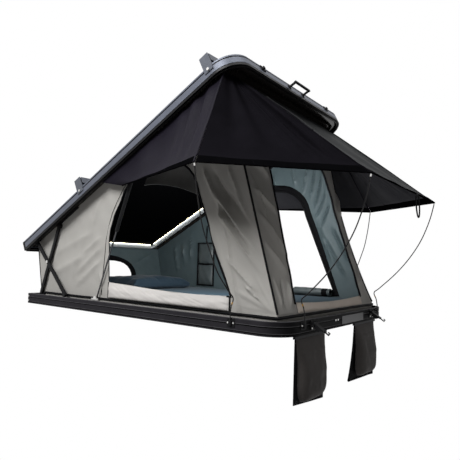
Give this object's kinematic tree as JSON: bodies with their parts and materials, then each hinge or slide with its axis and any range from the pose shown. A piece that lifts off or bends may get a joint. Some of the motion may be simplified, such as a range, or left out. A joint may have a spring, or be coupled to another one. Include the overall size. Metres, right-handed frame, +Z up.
{
  "type": "roof top tent",
  "caption": "Wedge hard shell roof top tent, open, with crossed lift arms, gas struts, canvas walls, spread awning and boot bags.",
  "frame": {"origin": "centre of the underside of the base, where it bolts to the roof bars", "axes": "+X to the front (door, latches, boot bags), +Z up, -Y the left side seen in the picture"},
  "size_m": [2.5856, 1.9932, 1.7488],
  "materials": {
    "rail_black": "satin black anodised extrusion",
    "roof_grey": "satin dark grey",
    "roof_sheet": "dark coated sheet",
    "black_metal": "satin black",
    "spring_rod": "black spring steel",
    "bolt_steel": "bright zinc",
    "bare_alu": "satin",
    "black_plastic": "moulded",
    "rim_gloss": "glossy moulded",
    "seal_rubber": "matte",
    "floor_board": "coated composite board",
    "canvas": "coated canvas",
    "roll_cloth": "dark grey lining",
    "awning_cloth": "black coated cloth",
    "liner_cloth": "black felt",
    "mattress_cloth": "slate blue cover",
    "pillow_cloth": "navy cotton",
    "bag_cloth": "black coated cloth",
    "badge_grey": "bare plate",
    "led_glow": "lit diffuser"
  },
  "bodies": {
    "base": {"base_rail": "rail_black", "rear_rail": "rail_black", "rail_end_caps": "black_plastic", "end_screws": "bolt_steel", "floor_panel": "floor_board", "mount_channels": "bare_alu", "canvas_strip": "canvas", "mattress": "mattress_cloth", "pillow": "pillow_cloth", "left_wall": "canvas", "right_wall": "canvas", "front_wall": "canvas", "rear_wall": "canvas", "window_roll": "roll_cloth", "organiser": "roll_cloth", "arm_base_brackets": "black_metal", "base_tracks": "black_metal", "strut_base_brackets": "bolt_steel", "bracket_bolts": "bolt_steel", "rod_brackets": "black_metal", "rod_bracket_bolts": "bolt_steel", "awning_rod_left": "spring_rod", "awning_rod_right": "spring_rod", "awning_rod_front_left": "spring_rod", "awning_rod_front_right": "spring_rod", "awning_clips": "bolt_steel", "latch_plates": "black_metal", "latch_bolts": "bolt_steel", "badge_plate": "badge_grey", "bag_tracks": "black_metal"},
    "rear_arms": {"rear_arms": "black_metal", "cross_bolts": "bolt_steel", "upper_rollers": "black_plastic"},
    "front_arms": {"front_arms": "black_metal", "lower_rollers": "black_plastic"},
    "roof": {"roof_rail": "roof_grey", "roof_rear_rail": "roof_grey", "roof_end_caps": "black_plastic", "roof_panel": "roof_sheet", "roof_rim": "rim_gloss", "roof_seal": "seal_rubber", "headliner": "liner_cloth", "frame_tubes": "bare_alu", "tube_elbows": "bare_alu", "led_strip": "led_glow", "crossbars": "roof_grey", "bar_brackets": "roof_grey", "bar_bolts": "bolt_steel", "grab_handle": "black_metal", "latch_keepers": "black_metal", "arm_roof_brackets": "black_metal", "roof_tracks": "black_metal", "awning_side_panels": "awning_cloth", "awning_front_panel": "awning_cloth"},
    "strut_rods": {"strut_rods": "bolt_steel"},
    "strut_tubes": {"strut_tubes": "black_metal"},
    "latch_left": {"latch_lever_left": "black_metal"},
    "latch_right": {"latch_lever_right": "black_metal"},
    "bag_left": {"boot_bag_left": "bag_cloth"},
    "bag_right": {"boot_bag_right": "bag_cloth"}
  },
  "joints": [
    {"name": "fold", "type": "hinge", "parent": "base", "child": "rear_arms", "pos_m": [-0.976, 0, 0.082], "axis": [0, 1, 0], "range_deg": [0, 69.6], "deforming": ["left_wall", "right_wall", "front_wall", "rear_wall", "mattress", "pillow", "window_roll", "organiser", "awning_rod_left", "awning_rod_right", "awning_rod_front_left", "awning_rod_front_right", "awning_clips", "awning_side_panels", "awning_front_panel"]},
    {"name": "front_arm_turn", "type": "hinge", "parent": "rear_arms", "child": "front_arms", "pos_m": [-0.888, 0, 0.3], "axis": [0, 1, 0], "range_deg": [-113.6, 0]},
    {"name": "roof_turn", "type": "hinge", "parent": "front_arms", "child": "roof", "pos_m": [-1.02593, 0, 0.4278], "axis": [0, 1, 0], "range_deg": [0, 71]},
    {"name": "strut_swing", "type": "hinge", "parent": "base", "child": "strut_rods", "pos_m": [-0.33, 0, 0.082], "axis": [0, 1, 0], "range_deg": [0, 67.7]},
    {"name": "strut_slide", "type": "slide", "parent": "strut_rods", "child": "strut_tubes", "axis": [0.3758, 0, 0.9267], "range_m": [-0.3745, 0]},
    {"name": "latch_left_turn", "type": "hinge", "parent": "base", "child": "latch_left", "pos_m": [1.089, -0.38, 0.05], "axis": [0, -1, 0], "range_deg": [0, 110]},
    {"name": "latch_right_turn", "type": "hinge", "parent": "base", "child": "latch_right", "pos_m": [1.089, 0.38, 0.05], "axis": [0, -1, 0], "range_deg": [0, 110]},
    {"name": "bag_left_swing", "type": "hinge", "parent": "base", "child": "bag_left", "pos_m": [1.068, -0.382, -0.007], "axis": [0, 1, 0], "range_deg": [-10, 10]},
    {"name": "bag_right_swing", "type": "hinge", "parent": "base", "child": "bag_right", "pos_m": [1.068, 0.3, -0.007], "axis": [0, 1, 0], "range_deg": [-10, 10]}
  ],
  "couplings": [
    {"joint": "front_arm_turn", "follows": "fold", "ratio": -1.6305},
    {"joint": "roof_turn", "follows": "fold", "ratio": 1.0184},
    {"joint": "strut_swing", "follows": "fold", "ratio": 0.97046},
    {"joint": "strut_slide", "follows": "fold", "m_per_rad": -0.30787}
  ]
}
